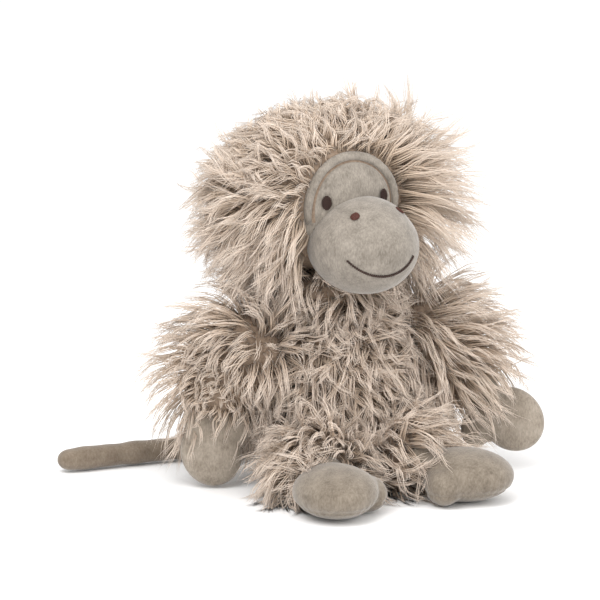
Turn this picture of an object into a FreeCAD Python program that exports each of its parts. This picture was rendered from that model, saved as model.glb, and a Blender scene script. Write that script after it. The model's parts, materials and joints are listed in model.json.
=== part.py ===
import FreeCAD, Part
import math
import os
import re
import Sketcher
from FreeCAD import Placement, Rotation, Vector

# A long-haired plush monkey that sits on its seat, legs forward, arms at its sides and tail on the floor.
# Millimetres, +Z up. The origin is on the floor under the middle of the seat. The monkey faces -Y,
# so its own right side is -X. Furry covers are solid to the mean surface of their pile.

os.makedirs("parts", exist_ok=True)
doc = FreeCAD.newDocument("plush_monkey")

DIMENSIONS = {
    # head: the furry outside, then the skull that the fur is sewn over
    "head_half_width": 71, "head_half_depth": 60, "head_half_height": 59,
    "skull_half_width": 56, "skull_half_depth": 44, "skull_half_height": 46,
    "face_shift": -3, "face_half_width": 36, "face_top_drop": 2, "face_bottom_drop": 23,
    "face_reach": 90, "panel_thickness": 2,
    "brow_radius": 32.2, "brow_thickness": 6.4, "brow_forward": 37.5,
    "muzzle_half_width": 34.4, "muzzle_half_depth": 39, "muzzle_half_height": 31,
    "eye_half_width": 3.9, "eye_half_height": 4.6, "eye_half_bulge": 3.2,
    "eye_across": 21, "eye_above": 3,
    "nostril_radius": 4, "nostril_across": 17, "nostril_above": 23.5,
    "smile_radius": 26, "smile_half_angle": 54, "smile_shift": -6.5, "smile_drop": 13,
    "smile_thread": 1.8, "smile_rise": 0.9, "smile_reach": 60,
    # body
    "neck_ball_radius": 22,
    "torso_half_width": 50, "torso_half_depth": 46, "torso_half_height": 66,
    "torso_pile": 9,
    "bag_half_width": 24, "bag_half_depth": 18, "bag_half_height": 13,
    "bag_cloth": 0.8,
    # limbs: a small ball at the seam, widening like a pear to the far end
    "limb_pile": 8, "limb_root_radius": 12,
    "arm_length": 36, "arm_end_radius": 18.5,
    "leg_length": 22, "leg_end_radius": 17,
    # hands and feet: two velour panels sewn together round the edge
    "velour": 1.6,
    "hand_root_radius": 9, "hand_reach": 30, "hand_half_length": 22.5,
    "hand_half_width": 20, "hand_half_thick": 8.5,
    "thumb_half_length": 17, "thumb_half_width": 12, "thumb_half_thick": 7.5,
    "thumb_along": 17, "thumb_across": 16, "thumb_angle": 74,
    "foot_root_radius": 10, "foot_reach": 35, "foot_half_length": 32,
    "foot_half_width": 28, "foot_half_height": 17,
    "toe_half_length": 17, "toe_half_width": 11, "toe_half_height": 12,
    "toe_angle": 38, "toe_lift": 1, "foot_seam_height": 10,
    # tail
    "tail_radius": 7.8, "tail_root_radius": 9.5, "tail_bend_share": 0.45,
    # spaces between pieces: panel to filling, thread to cloth, and round a joint's ball
    "ease": 0.25, "thread_ease": 0.05, "joint_gap": 1.0,
    "room_back": 1.1, "room_rest": 1.2, "room_part": 1.3, "room_most": 1.4,
}

PLACES = {
    "head_centre": (-5, -3, 188), "skull_centre": (-5, -2, 188), "muzzle_centre": (-5, -49, 162),
    "neck": (-3, -1, 127), "torso_centre": (4, 0, 60), "bag_centre": (4, 6, 25),
    "shoulder_right": (-46, 2, 99), "shoulder_left": (54, -6, 99),
    "wrist_right": (-86.2, 19.3, 51.8), "wrist_left": (93.5, -33.2, 53.3),
    "hip_right": (-28, -26, 26), "hip_left": (24, -34, 26),
    "ankle_right": (-44, -61, 17), "ankle_left": (19, -72, 17),
    "tail_root": (0, 43, 12),
}

# the way each hand and foot points from its joint, and the way a hand's back or a foot's top faces
HAND_POINTS = {"right": (0.2516, -0.1634, -0.954), "left": (0.55, -0.5, -0.67)}
HAND_FACES = {"right": (-0.5446, -0.8387, 0.0), "left": (-0.511, -0.834, 0.202)}
FOOT_POINTS = {"right": (-0.32, -0.947, 0.0), "left": (0.576, -0.818, 0.0)}

# the axis each arm swings about, and how far each limb is turned at the places where the torso makes room
ARM_AXES = {"right": (0.94, -0.342, 0.0), "left": (0.94, 0.342, 0.0)}
LIMB_TURNS = {
    "arm": {"room_back": 15, "room_rest": 0, "room_part": -20, "room_most": -45},
    "leg": {"room_back": -12, "room_rest": 0, "room_part": 15, "room_most": 30},
}

# the tail's middle line along the floor, from its seam to its tip
TAIL_ROUTE = [(0, 43, 12), (-8, 66, 9), (-32, 82, 8.2), (-60, 90, 8.2), (-132, 100, 8.2)]

sheet = doc.addObject("Spreadsheet::Sheet", "dimensions")
cells = dict(DIMENSIONS)
for place_name, coordinates in PLACES.items():
    for letter, value in zip("xyz", coordinates):
        cells[place_name + "_" + letter] = value
for row, (alias, value) in enumerate(cells.items(), start=1):
    sheet.set(f"A{row}", alias)
    sheet.set(f"B{row}", str(value))
    sheet.setAlias(f"B{row}", alias)
doc.recompute()

SIDES = ("right", "left")
finished = []


def size(alias):
    """The number in one cell."""
    return float(sheet.get(alias))


def place(name):
    """A point whose three coordinates are cells."""
    return Vector(*(size(f"{name}_{letter}") for letter in "xyz"))


def bind(item, prop, formula):
    """Drive one property by a formula of cell names."""
    item.setExpression(prop, re.sub(r"[a-z_]{3,}", lambda word: "dimensions." + word.group(), formula))


def frame_at(origin, x_axis, y_hint):
    """A placement with local X along x_axis and local Y as near y_hint as it can be."""
    along = Vector(x_axis).normalize()
    upright = along.cross(Vector(y_hint)).normalize()
    across = upright.cross(along)
    turn = FreeCAD.Matrix(along.x, across.x, upright.x, 0, along.y, across.y, upright.y, 0,
                          along.z, across.z, upright.z, 0, 0, 0, 0, 1)
    return Placement(origin, Rotation(turn))


def finish_piece(item, label):
    """Name a finished piece and put it on the list to be written."""
    item.Label = label
    finished.append(item)
    return item


def ellipsoid(name, placement, width, depth, height):
    """An ellipsoid, with formulas for its half sizes along its own X, Y and Z."""
    item = doc.addObject("Part::Ellipsoid", name)
    item.Angle1, item.Angle2, item.Angle3 = -90, 90, 360
    bind(item, "Radius2", width)
    bind(item, "Radius3", depth)
    bind(item, "Radius1", height)
    item.Placement = placement
    return item


def ball(name, centre, radius):
    """A sphere round a point."""
    item = doc.addObject("Part::Sphere", name)
    bind(item, "Radius", radius)
    item.Placement = Placement(centre, Rotation())
    return item


def cut(name, base, *tools):
    """The base with every tool taken away."""
    result = base
    for number, tool in enumerate(tools, start=1):
        step = doc.addObject("Part::Cut", f"{name}_cut_{number}")
        step.Base, step.Tool = result, tool
        result = step
    return result


def fuse(name, *items):
    """Several solids as one."""
    item = doc.addObject("Part::MultiFuse", name)
    item.Shapes = list(items)
    item.Refine = False
    return item


def common(name, first, second):
    """What two solids share."""
    item = doc.addObject("Part::Common", name)
    item.Base, item.Tool = first, second
    return item


def origin_plane(body, role):
    """One of a body's own origin planes."""
    return next(feature for feature in body.Origin.OriginFeatures if feature.Role == role)


def sketch_on(body, name, role):
    """An empty sketch on one of the body's origin planes."""
    sketch = body.newObject("Sketcher::SketchObject", name)
    sketch.AttachmentSupport = [(origin_plane(body, role), "")]
    sketch.MapMode = "FlatFace"
    return sketch


def pear(name, placement, root_radius, end_radius, length, less="0", more="0"):
    """A revolved pear along local X: a ball at the root, a cone tangent to both, and a larger far ball.

    The cells in less are taken off its radii, and those in more are added."""
    grow = sum(size(word) for word in re.findall(r"[a-z_]{3,}", more))
    grow -= sum(size(word) for word in re.findall(r"[a-z_]{3,}", less))
    near, far, span = size(root_radius) + grow, size(end_radius) + grow, size(length)
    lean = math.acos((near - far) / span)
    touch_near = Vector(near * math.cos(lean), near * math.sin(lean), 0)
    touch_far = Vector(span + far * math.cos(lean), far * math.sin(lean), 0)
    upward = Vector(0, 0, 1)
    body = doc.addObject("PartDesign::Body", name)
    sketch = sketch_on(body, name + "_profile", "XY_Plane")
    root = sketch.addGeometry(
        Part.ArcOfCircle(Part.Circle(Vector(), upward, near), lean, math.pi))
    side = sketch.addGeometry(Part.LineSegment(touch_near, touch_far))
    end = sketch.addGeometry(
        Part.ArcOfCircle(Part.Circle(Vector(span, 0, 0), upward, far), 0, lean))
    axis = sketch.addGeometry(Part.LineSegment(Vector(-near, 0, 0), Vector(span + far, 0, 0)))
    start, stop, middle, x_axis = 1, 2, 3, -1
    for constraint in (
        ("Coincident", root, middle, x_axis, start), ("PointOnObject", end, middle, x_axis),
        ("Tangent", root, start, side, start), ("Tangent", side, stop, end, stop),
        ("Coincident", root, stop, axis, start), ("Coincident", end, start, axis, stop),
        ("PointOnObject", axis, start, x_axis), ("PointOnObject", axis, stop, x_axis),
        ("Radius", root, near), ("Radius", end, far), ("DistanceX", root, middle, end, middle, span),
    ):
        sketch.addConstraint(Sketcher.Constraint(*constraint))
    count = sketch.ConstraintCount
    for offset, label, formula in (
        (3, "root_radius", f"{root_radius} - ({less}) + ({more})"),
        (2, "end_radius", f"{end_radius} - ({less}) + ({more})"),
        (1, "length", length),
    ):
        sketch.renameConstraint(count - offset, label)
        bind(sketch, f"Constraints.{label}", formula)
    turned = body.newObject("PartDesign::Revolution", name + "_turned")
    turned.Profile = sketch
    turned.ReferenceAxis = (sketch, ["H_Axis"])
    turned.Angle = 360
    body.Tip = turned
    body.Placement = placement
    return body


def half_space(name, placement):
    """A large block that fills local Z above 0."""
    item = doc.addObject("Part::Box", name)
    reach = 400
    item.Length = item.Width = item.Height = reach
    item.Placement = placement.multiply(Placement(Vector(-reach / 2, -reach / 2, 0), Rotation()))
    return item


# ---------------------------------------------------------------- head

def build_head():
    """Furry cover with a face opening, velour face, brow and muzzle, and embroidered features."""
    skull = Placement(place("skull_centre"), Rotation())
    skull_halves = ("skull_half_width", "skull_half_depth", "skull_half_height")

    def on_skull(name, extra):
        return ellipsoid(name, skull, *(f"{half} {extra}" for half in skull_halves))

    muzzle_at = Placement(place("muzzle_centre"), Rotation())
    muzzle_halves = ("muzzle_half_width", "muzzle_half_depth", "muzzle_half_height")

    def on_muzzle(name, extra):
        return ellipsoid(name, muzzle_at, *(f"{half} {extra}" for half in muzzle_halves))

    socket = ball("head_socket", place("neck"), "neck_ball_radius + joint_gap")
    outside = ellipsoid("head_outside", Placement(place("head_centre"), Rotation()),
                        "head_half_width", "head_half_depth", "head_half_height")
    opening = face_opening("face_opening", "0")
    cover = cut("head_fur_cover", outside, on_skull("skull_space", "+ 0"), opening, socket,
                on_muzzle("muzzle_room", "+ ease"))
    finish_piece(cover, "head_fur_cover")
    finish_piece(cut("head_stuffing", on_skull("skull_fill", "- ease"), socket), "head_stuffing")

    face_block = face_opening("face_block", "ease")
    panel_skin = cut("panel_skin", on_skull("panel_front", "+ panel_thickness"),
                     on_skull("panel_back", "+ 0"), socket)
    finish_piece(common("face_panel_piece", panel_skin, face_block), "face_panel")

    behind = on_skull("behind_features", "+ panel_thickness + ease")
    brow = doc.addObject("Part::Torus", "brow_ring")
    bind(brow, "Radius1", "brow_radius")
    bind(brow, "Radius2", "brow_thickness / 2")
    brow.Angle3 = 180
    brow_middle = place("skull_centre") + Vector(
        size("face_shift"), -size("brow_forward"), -size("face_top_drop"))
    brow.Placement = Placement(brow_middle, Rotation(Vector(1, 0, 0), 90))
    finish_piece(cut("brow_band_piece", brow, behind), "brow_band")

    muzzle = on_muzzle("muzzle_outside", "+ 0")
    cover = cut("muzzle_cover_piece", muzzle, on_muzzle("muzzle_space", "- velour"), behind)
    finish_piece(cover, "muzzle_cover")
    fill = cut("muzzle_fill_piece", on_muzzle("muzzle_fill", "- velour - ease"), behind)
    finish_piece(fill, "muzzle_stuffing")

    muzzle_skin = on_muzzle("muzzle_skin", "+ thread_ease")
    panel_halves = [size(half) + size("panel_thickness") for half in skull_halves]
    sunk_halves = [size(half) - size("nostril_radius") / 2 for half in muzzle_halves]
    for side, sign in zip(SIDES, (-1, 1)):
        eye_at = on_front("skull_centre", panel_halves,
                          size("face_shift") + sign * size("eye_across"), size("eye_above"))
        eye = ellipsoid(f"eye_{side}_lens", Placement(eye_at, Rotation()),
                        "eye_half_width", "eye_half_bulge", "eye_half_height")
        finish_piece(cut(f"eye_{side}_piece", eye, behind, muzzle_skin), f"eye_{side}")
        nostril_at = on_front("muzzle_centre", sunk_halves,
                              sign * size("nostril_across"), size("nostril_above"))
        bead = ball(f"nostril_{side}_bead", nostril_at, "nostril_radius")
        finish_piece(cut(f"nostril_{side}_piece", bead, muzzle_skin), f"nostril_{side}")

    finish_piece(build_smile(on_muzzle, muzzle_skin), "mouth_embroidery")


def on_front(centre, halves, across, up):
    """The point on the front of an ellipsoid at a place across and up from its middle."""
    half_width, half_depth, half_height = halves
    depth = half_depth * math.sqrt(1 - (across / half_width) ** 2 - (up / half_height) ** 2)
    return place(centre) + Vector(across, -depth, up)


def face_opening(name, less):
    """A block through the front of the head, shaped like an arch above and a bowl below."""
    inset = size("ease") if less == "ease" else 0
    radius = size("face_half_width") - inset
    top, bottom = -size("face_top_drop"), -size("face_bottom_drop")
    body = doc.addObject("PartDesign::Body", name)
    sketch = sketch_on(body, name + "_outline", "XZ_Plane")
    upward = Vector(0, 0, 1)
    arch = sketch.addGeometry(
        Part.ArcOfCircle(Part.Circle(Vector(0, top, 0), upward, radius), 0, math.pi))
    left = sketch.addGeometry(Part.LineSegment(Vector(-radius, top, 0), Vector(-radius, bottom, 0)))
    bowl = sketch.addGeometry(
        Part.ArcOfCircle(Part.Circle(Vector(0, bottom, 0), upward, radius), math.pi, 2 * math.pi))
    right = sketch.addGeometry(Part.LineSegment(Vector(radius, bottom, 0), Vector(radius, top, 0)))
    start, stop, middle, origin, y_axis = 1, 2, 3, -1, -2
    for constraint in (
        ("Tangent", arch, stop, left, start), ("Tangent", left, stop, bowl, start),
        ("Tangent", bowl, stop, right, start), ("Tangent", right, stop, arch, start),
        ("PointOnObject", arch, middle, y_axis), ("PointOnObject", bowl, middle, y_axis),
        ("Radius", arch, radius),
        ("DistanceY", arch, middle, origin, start, -top),
        ("DistanceY", bowl, middle, origin, start, -bottom),
    ):
        sketch.addConstraint(Sketcher.Constraint(*constraint))
    count = sketch.ConstraintCount
    for offset, label, formula in (
        (3, "half_width", f"face_half_width - {less}"), (2, "top_drop", "face_top_drop"),
        (1, "bottom_drop", "face_bottom_drop"),
    ):
        sketch.renameConstraint(count - offset, label)
        bind(sketch, f"Constraints.{label}", formula)
    block = body.newObject("PartDesign::Pad", name + "_block")
    block.Profile = sketch
    bind(block, "Length", "face_reach")
    body.Tip = block
    body.Placement = Placement(place("skull_centre") + Vector(size("face_shift"), 0, 0), Rotation())
    return body


def build_smile(on_muzzle, muzzle_skin):
    """A line of thread on the muzzle: the lower part of a ring, laid over the muzzle's curve."""
    half_angle = size("smile_half_angle")
    middle = place("muzzle_centre") + Vector(
        size("smile_shift"), 0, size("smile_radius") - size("smile_drop"))
    forward = Rotation(Vector(1, 0, 0), 90)
    rings = []
    for name, radius, sweep, turn in (
        ("smile_outer", "smile_radius + smile_thread / 2", "2 * smile_half_angle", -90 - half_angle),
        ("smile_inner", "smile_radius - smile_thread / 2", "360", 0),
    ):
        ring = doc.addObject("Part::Cylinder", name)
        bind(ring, "Radius", radius)
        bind(ring, "Angle", sweep)
        bind(ring, "Height", "smile_reach")
        ring.Placement = Placement(middle, forward.multiply(Rotation(Vector(0, 0, 1), turn)))
        rings.append(ring)
    arc = cut("smile_arc", *rings)
    raised = cut("smile_skin", on_muzzle("smile_front", "+ smile_rise"), muzzle_skin)
    return common("smile_piece", raised, arc)


# ---------------------------------------------------------------- torso

def build_torso(limb_sockets):
    """Furry body with a flat seat, its stuffing, and the bag of beads that keeps it sitting."""
    centre = Placement(place("torso_centre"), Rotation())
    halves = ("torso_half_width", "torso_half_depth", "torso_half_height")
    outside = ellipsoid("torso_outside", centre, *halves)
    inside = ellipsoid("torso_space", centre, *(f"{half} - torso_pile" for half in halves))
    fill = ellipsoid("torso_fill", centre, *(f"{half} - torso_pile - ease" for half in halves))
    floor = half_space("below_floor", Placement(Vector(), Rotation(Vector(1, 0, 0), 180)))
    neck_socket = ball("torso_neck_socket", place("neck"), "neck_ball_radius + joint_gap")
    sockets = [neck_socket, *limb_sockets]
    finish_piece(cut("torso_fur_cover", outside, floor, *sockets, inside), "torso_fur_cover")

    bag_at = Placement(place("bag_centre"), Rotation())
    bag_halves = ("bag_half_width", "bag_half_depth", "bag_half_height")

    def bag_shape(name, extra):
        return ellipsoid(name, bag_at, *(f"{half} {extra}" for half in bag_halves))

    finish_piece(cut("torso_stuffing", fill, *sockets, bag_shape("bag_hollow", "+ ease")), "torso_stuffing")
    bag = cut("pellet_bag_piece", bag_shape("bag_outside", "+ 0"), bag_shape("bag_inside", "- bag_cloth"))
    finish_piece(bag, "pellet_bag")
    finish_piece(bag_shape("bean_pellets_piece", "- bag_cloth - ease"), "bean_pellets")
    finish_piece(ball("neck_piece", place("neck"), "neck_ball_radius"), "neck_stuffing")


# ---------------------------------------------------------------- limbs

def limb_frame(root, far):
    """A placement at a limb's root, with local X along the limb."""
    return frame_at(place(root), place(far) - place(root), Vector(0, 0, 1))


def limb_sizes(kind):
    """The cells for a limb's root radius, end radius and length."""
    return "limb_root_radius", f"{kind}_end_radius", f"{kind}_length"


def limb_room(kind, side, root, far):
    """The room a limb needs in the torso: the limb a little larger, at several turns about its hinge."""
    start, along = place(root), place(far) - place(root)
    axis = Vector(ARM_AXES[side]) if kind == "arm" else Vector(along.x, along.y, 0).cross(Vector(0, 0, 1))
    rooms = []
    for gap, degrees in LIMB_TURNS[kind].items():
        turned = Placement(Vector(), Rotation(axis, degrees), start).multiply(limb_frame(root, far))
        rooms.append(pear(f"{kind}_{side}_{gap}", turned, *limb_sizes(kind), more=gap))
    return rooms


def build_limb(kind, side, root, far, end_socket):
    """A furry sleeve and its stuffing, from a seam on the torso to a socket for the hand or foot."""
    finish = place(far)
    placement = limb_frame(root, far)
    name = f"{kind}_{side}"
    sizes = limb_sizes(kind)
    outside = pear(f"{name}_outside", placement, *sizes)
    inside = pear(f"{name}_space", placement, *sizes, less="limb_pile")
    fill = pear(f"{name}_fill", placement, *sizes, less="limb_pile + ease")
    socket = ball(f"{name}_end_socket", finish, f"{end_socket} + joint_gap")
    finish_piece(cut(f"{name}_sleeve", outside, inside, socket), f"{name}_fur_sleeve")
    finish_piece(cut(f"{name}_stuffing_piece", fill, socket), f"{name}_stuffing")


def main_lobe(name, placement, main, reach, less):
    """The main lobe of a hand or foot, inset by the cells in less."""
    along = placement.multiply(Placement(Vector(size(reach), 0, 0), Rotation()))
    return ellipsoid(name, along, *(f"{half} - ({less})" for half in main))


def two_lobes(name, placement, main, lobe, root_radius, reach, lobe_frame, less):
    """A main lobe, a side lobe and the small ball of the joint, as one solid."""
    body = main_lobe(f"{name}_main", placement, main, reach, less)
    thumb = ellipsoid(f"{name}_lobe", placement.multiply(lobe_frame), *(f"{half} - ({less})" for half in lobe))
    root = ball(f"{name}_root", placement.Base, f"{root_radius} - ({less})")
    return fuse(f"{name}_solid", body, thumb, root)


def build_paw(label, placement, seam_height, names, main, lobe, root_radius, reach, lobe_frame):
    """Two panels sewn together at a seam plane, and the stuffing of the main lobe between them."""
    lobes = (main, lobe, root_radius, reach, lobe_frame)
    outside = two_lobes(f"{label}_outside", placement, *lobes, "0")
    inside = two_lobes(f"{label}_inside", placement, *lobes, "velour")
    fill = main_lobe(f"{label}_fill", placement, main, reach, "velour + ease")
    skin = cut(f"{label}_skin", outside, inside)
    seam = placement.multiply(Placement(Vector(0, 0, seam_height), Rotation()))
    above = half_space(f"{label}_above_seam", seam)
    upper = common(f"{label}_upper", skin, above)
    lower = cut(f"{label}_lower", skin, above)
    finish_piece(upper, f"{label}_{names[0]}")
    finish_piece(lower, f"{label}_{names[1]}")
    finish_piece(fill, f"{label}_stuffing")


def build_hand(side, sign):
    """A mitten: a flat main lobe that points away from the wrist, and a thumb lobe."""
    placement = frame_at(place(f"wrist_{side}"), HAND_POINTS[side],
                         Vector(HAND_FACES[side]).cross(Vector(HAND_POINTS[side])))
    turn = Rotation(Vector(0, 0, 1), size("thumb_angle") * sign)
    lobe = Placement(Vector(size("thumb_along"), size("thumb_across") * sign, 0), turn)
    build_paw(f"hand_{side}", placement, 0, ("back", "palm"),
              ("hand_half_length", "hand_half_width", "hand_half_thick"),
              ("thumb_half_length", "thumb_half_width", "thumb_half_thick"),
              "hand_root_radius", "hand_reach", lobe)


def build_foot(side, sign):
    """A rounded foot that lies on its sole, with a big-toe lobe on its inner side."""
    placement = frame_at(place(f"ankle_{side}"), FOOT_POINTS[side],
                         Vector(0, 0, 1).cross(Vector(FOOT_POINTS[side])))
    drop = size("foot_half_height") - size(f"ankle_{side}_z")
    turn = Rotation(Vector(0, 0, 1), size("toe_angle") * sign)
    inner = Placement(turn.multVec(Vector(size("foot_reach"), 0, 0)), turn)
    toe_drop = size("toe_half_height") + size("toe_lift") - size(f"ankle_{side}_z")
    lobe = Placement(Vector(inner.Base.x, inner.Base.y, toe_drop), turn)
    label = f"foot_{side}"
    main_frame = placement.multiply(Placement(Vector(0, 0, drop), Rotation()))
    lobe_frame = Placement(Vector(0, 0, -drop), Rotation()).multiply(lobe)
    build_paw(label, main_frame, size("foot_seam_height") - size("foot_half_height"), ("upper", "sole"),
              ("foot_half_length", "foot_half_width", "foot_half_height"),
              ("toe_half_length", "toe_half_width", "toe_half_height"),
              "foot_root_radius", "foot_reach", lobe_frame)


# ---------------------------------------------------------------- tail

def tail_tube(name, radius):
    """A tube with round ends along the tail's route: straight runs joined by tangent arcs."""
    points = [Vector(*point) for point in TAIL_ROUTE]
    edges, here = [], points[0]
    for before, corner, after in zip(points, points[1:], points[2:]):
        arrive, leave = (before - corner), (after - corner)
        back = size("tail_bend_share") * min(arrive.Length, leave.Length)
        arrive.normalize()
        leave.normalize()
        enter, exit_ = corner + arrive * back, corner + leave * back
        half = math.acos(max(-1.0, min(1.0, arrive.dot(leave)))) / 2
        middle = (arrive + leave).normalize()
        bend = back * math.tan(half)
        centre = corner + middle * (back / math.cos(half))
        edges.append(Part.LineSegment(here, enter).toShape())
        edges.append(Part.Arc(enter, centre - middle * bend, exit_).toShape())
        here = exit_
    edges.append(Part.LineSegment(here, points[-1]).toShape())
    route = Part.Wire(edges)
    ring = Part.Wire(Part.Circle(points[0], points[1] - points[0], radius).toShape())
    tube = route.makePipeShell([ring], True, True)
    return tube.fuse(Part.makeSphere(radius, points[-1])).removeSplitter()


def build_tail():
    """A slim stuffed velour tube that ends in a ball inside the torso's seam."""
    radius, root = size("tail_radius"), size("tail_root_radius")
    start = place("tail_root")
    velour, ease = size("velour"), size("ease")
    outer = tail_tube("tail", radius).fuse(Part.makeSphere(root, start))
    inner = tail_tube("tail", radius - velour).fuse(Part.makeSphere(root - velour, start))
    fill = tail_tube("tail", radius - velour - ease).fuse(Part.makeSphere(root - velour - ease, start))
    for label, shape in (("tail_cover", outer.cut(inner)), ("tail_stuffing", fill)):
        item = doc.addObject("Part::Feature", label)
        item.Shape = shape
        finish_piece(item, label)


def build_all():
    build_head()
    sockets = [room for side in SIDES
               for room in (*limb_room("arm", side, f"shoulder_{side}", f"wrist_{side}"),
                            *limb_room("leg", side, f"hip_{side}", f"ankle_{side}"))]
    sockets.append(ball("torso_tail_socket", place("tail_root"), "tail_root_radius + joint_gap"))
    build_torso(sockets)
    for side, sign in zip(SIDES, (1, -1)):
        build_limb("arm", side, f"shoulder_{side}", f"wrist_{side}", "hand_root_radius")
        build_limb("leg", side, f"hip_{side}", f"ankle_{side}", "foot_root_radius")
        build_hand(side, sign)
        build_foot(side, sign)
    build_tail()


def write_pieces():
    """Check every object and every piece, then write one STEP file a piece."""
    doc.recompute()
    failed = [item.Label for item in doc.Objects if {"Invalid", "Error"} & set(item.State)]
    if failed:
        raise RuntimeError(f"failed features: {failed}")
    for item in finished:
        shape = item.Shape
        if shape.isNull() or not shape.isValid() or not shape.Solids:
            raise RuntimeError(f"{item.Label} has no sound shape")
    for item in finished:
        item.Shape.exportStep(f"parts/{item.Label}.step")
        box = item.Shape.BoundBox
        print(f"{item.Label:22s} solids {len(item.Shape.Solids)} volume {item.Shape.Volume:9.0f} "
              f"x {box.XMin:6.1f} {box.XMax:6.1f} y {box.YMin:6.1f} {box.YMax:6.1f} "
              f"z {box.ZMin:6.1f} {box.ZMax:6.1f}")


build_all()
write_pieces()
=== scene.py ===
import json
import math

import bpy
import numpy as np
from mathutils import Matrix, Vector


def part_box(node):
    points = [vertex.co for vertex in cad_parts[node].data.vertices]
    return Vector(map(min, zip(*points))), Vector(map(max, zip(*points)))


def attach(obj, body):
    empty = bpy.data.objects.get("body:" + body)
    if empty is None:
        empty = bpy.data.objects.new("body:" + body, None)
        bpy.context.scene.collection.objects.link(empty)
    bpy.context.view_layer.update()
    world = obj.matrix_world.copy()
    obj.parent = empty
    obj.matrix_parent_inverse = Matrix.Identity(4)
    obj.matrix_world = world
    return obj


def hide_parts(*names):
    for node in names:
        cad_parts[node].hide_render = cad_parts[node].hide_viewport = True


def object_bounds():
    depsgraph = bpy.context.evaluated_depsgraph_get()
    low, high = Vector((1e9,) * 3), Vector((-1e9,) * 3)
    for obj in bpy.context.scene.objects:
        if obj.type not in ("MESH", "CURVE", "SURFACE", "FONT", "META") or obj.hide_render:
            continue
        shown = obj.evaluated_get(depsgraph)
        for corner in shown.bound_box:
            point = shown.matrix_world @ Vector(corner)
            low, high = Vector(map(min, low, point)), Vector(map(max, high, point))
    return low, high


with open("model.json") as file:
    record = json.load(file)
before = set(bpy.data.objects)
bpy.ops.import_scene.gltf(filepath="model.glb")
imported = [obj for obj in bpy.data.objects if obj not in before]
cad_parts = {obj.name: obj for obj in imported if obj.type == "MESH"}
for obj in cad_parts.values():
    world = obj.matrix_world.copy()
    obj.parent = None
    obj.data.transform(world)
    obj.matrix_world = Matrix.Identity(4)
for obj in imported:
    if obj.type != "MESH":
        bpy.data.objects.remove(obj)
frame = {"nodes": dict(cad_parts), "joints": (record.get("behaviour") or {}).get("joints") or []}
cad_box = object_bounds()

# A long-haired plush monkey. Everything is in metres, in the frame's axes:
# it faces -Y, and its right side is -X.
MM = 0.001
SIDES = ("right", "left")
UP = np.array((0.0, 0.0, 1.0))
joint_place = {j["name"]: np.array(j["pos_m"]) for j in frame["joints"]}


def box_centre(node):
    """The middle of a node's box at rest."""
    low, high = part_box(node)
    return np.array((low + high) / 2)


# ------------------------------------------------------------------ camera, floor and light

CAMERA_AZIMUTH, CAMERA_ELEVATION = -33, 13
CAMERA_DISTANCE, CAMERA_SPAN = 8.0, 0.384
CAMERA_TARGET = Vector((-0.0007, 0.0307, 0.110))
LIGHT_TARGET = Vector((0, 0, 0.12))
LIGHTS = {
    # name: azimuth and elevation in degrees, distance and width in metres, power in watts
    "key": (-60, 48, 1.4, 0.9, 13),
    "front": (0, 18, 1.6, 1.2, 8),
    "top": (20, 82, 1.3, 0.9, 4),
    "fill": (55, 22, 1.7, 1.2, 6),
}
FLOOR_REACH, FLOOR_COLOUR = 6.0, (0.93, 0.93, 0.93, 1)


def stand_back(thing, target, azimuth, elevation, distance):
    """Puts a camera or light at a distance from its target, facing it."""
    a, e = math.radians(azimuth), math.radians(elevation)
    back = Vector((math.sin(a) * math.cos(e), -math.cos(a) * math.cos(e), math.sin(e)))
    bpy.context.scene.collection.objects.link(thing)
    thing.location = target + back * distance
    thing.rotation_euler = back.to_track_quat("Z", "Y").to_euler()


def make_camera():
    """A camera on the monkey's right, a little above it."""
    data = bpy.data.cameras.new("camera")
    data.angle = 2 * math.atan(CAMERA_SPAN / 2 / CAMERA_DISTANCE)
    camera = bpy.data.objects.new("camera", data)
    stand_back(camera, CAMERA_TARGET, CAMERA_AZIMUTH, CAMERA_ELEVATION, CAMERA_DISTANCE)
    bpy.context.scene.camera = camera


def make_studio():
    """A plain pale floor under soft light from all round, strongest from above and in front."""
    world = bpy.data.worlds.new("studio")
    bpy.context.scene.world = world
    world.use_nodes = True
    background = world.node_tree.nodes["Background"]
    background.inputs["Color"].default_value = (1, 1, 1, 1)
    background.inputs["Strength"].default_value = 1.0
    for name, (azimuth, elevation, distance, width, power) in LIGHTS.items():
        data = bpy.data.lights.new(name, "AREA")
        data.shape, data.size, data.energy = "SQUARE", width, power
        stand_back(bpy.data.objects.new(name, data), LIGHT_TARGET, azimuth, elevation, distance)
    mesh = bpy.data.meshes.new("floor")
    corners = [(x * FLOOR_REACH, y * FLOOR_REACH, 0) for x, y in ((-1, -1), (1, -1), (1, 1), (-1, 1))]
    mesh.from_pydata(corners, [], [(0, 1, 2, 3)])
    floor = bpy.data.objects.new("floor", mesh)
    bpy.context.scene.collection.objects.link(floor)
    material, nodes, _ = new_material("floor_paper")
    nodes["Principled BSDF"].inputs["Base Color"].default_value = FLOOR_COLOUR
    nodes["Principled BSDF"].inputs["Roughness"].default_value = 0.9
    mesh.materials.append(material)
    bpy.context.scene.view_settings.view_transform = "Standard"


# ------------------------------------------------------------------ materials

def new_material(name):
    """A material, its nodes and its links."""
    material = bpy.data.materials.new(name)
    material.use_nodes = True
    return material, material.node_tree.nodes, material.node_tree.links


def ramp(nodes, stops):
    """A colour ramp node with the given (place, colour) stops."""
    node = nodes.new("ShaderNodeValToRGB")
    elements = node.color_ramp.elements
    while len(elements) < len(stops):
        elements.new(0.5)
    for element, (place, colour) in zip(elements, stops):
        element.position = place
        element.color = (*colour, 1)
    return node


# The root and lower colours are painted shade: the fur darkens towards the skin where the locks shade each
# other.
FUR_ROOT_PAINTED_SHADE, FUR_LOWER_PAINTED_SHADE = (0.43, 0.315, 0.215), (0.62, 0.495, 0.385)
FUR_UPPER, FUR_TIP = (0.71, 0.60, 0.505), (0.74, 0.63, 0.54)


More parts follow.
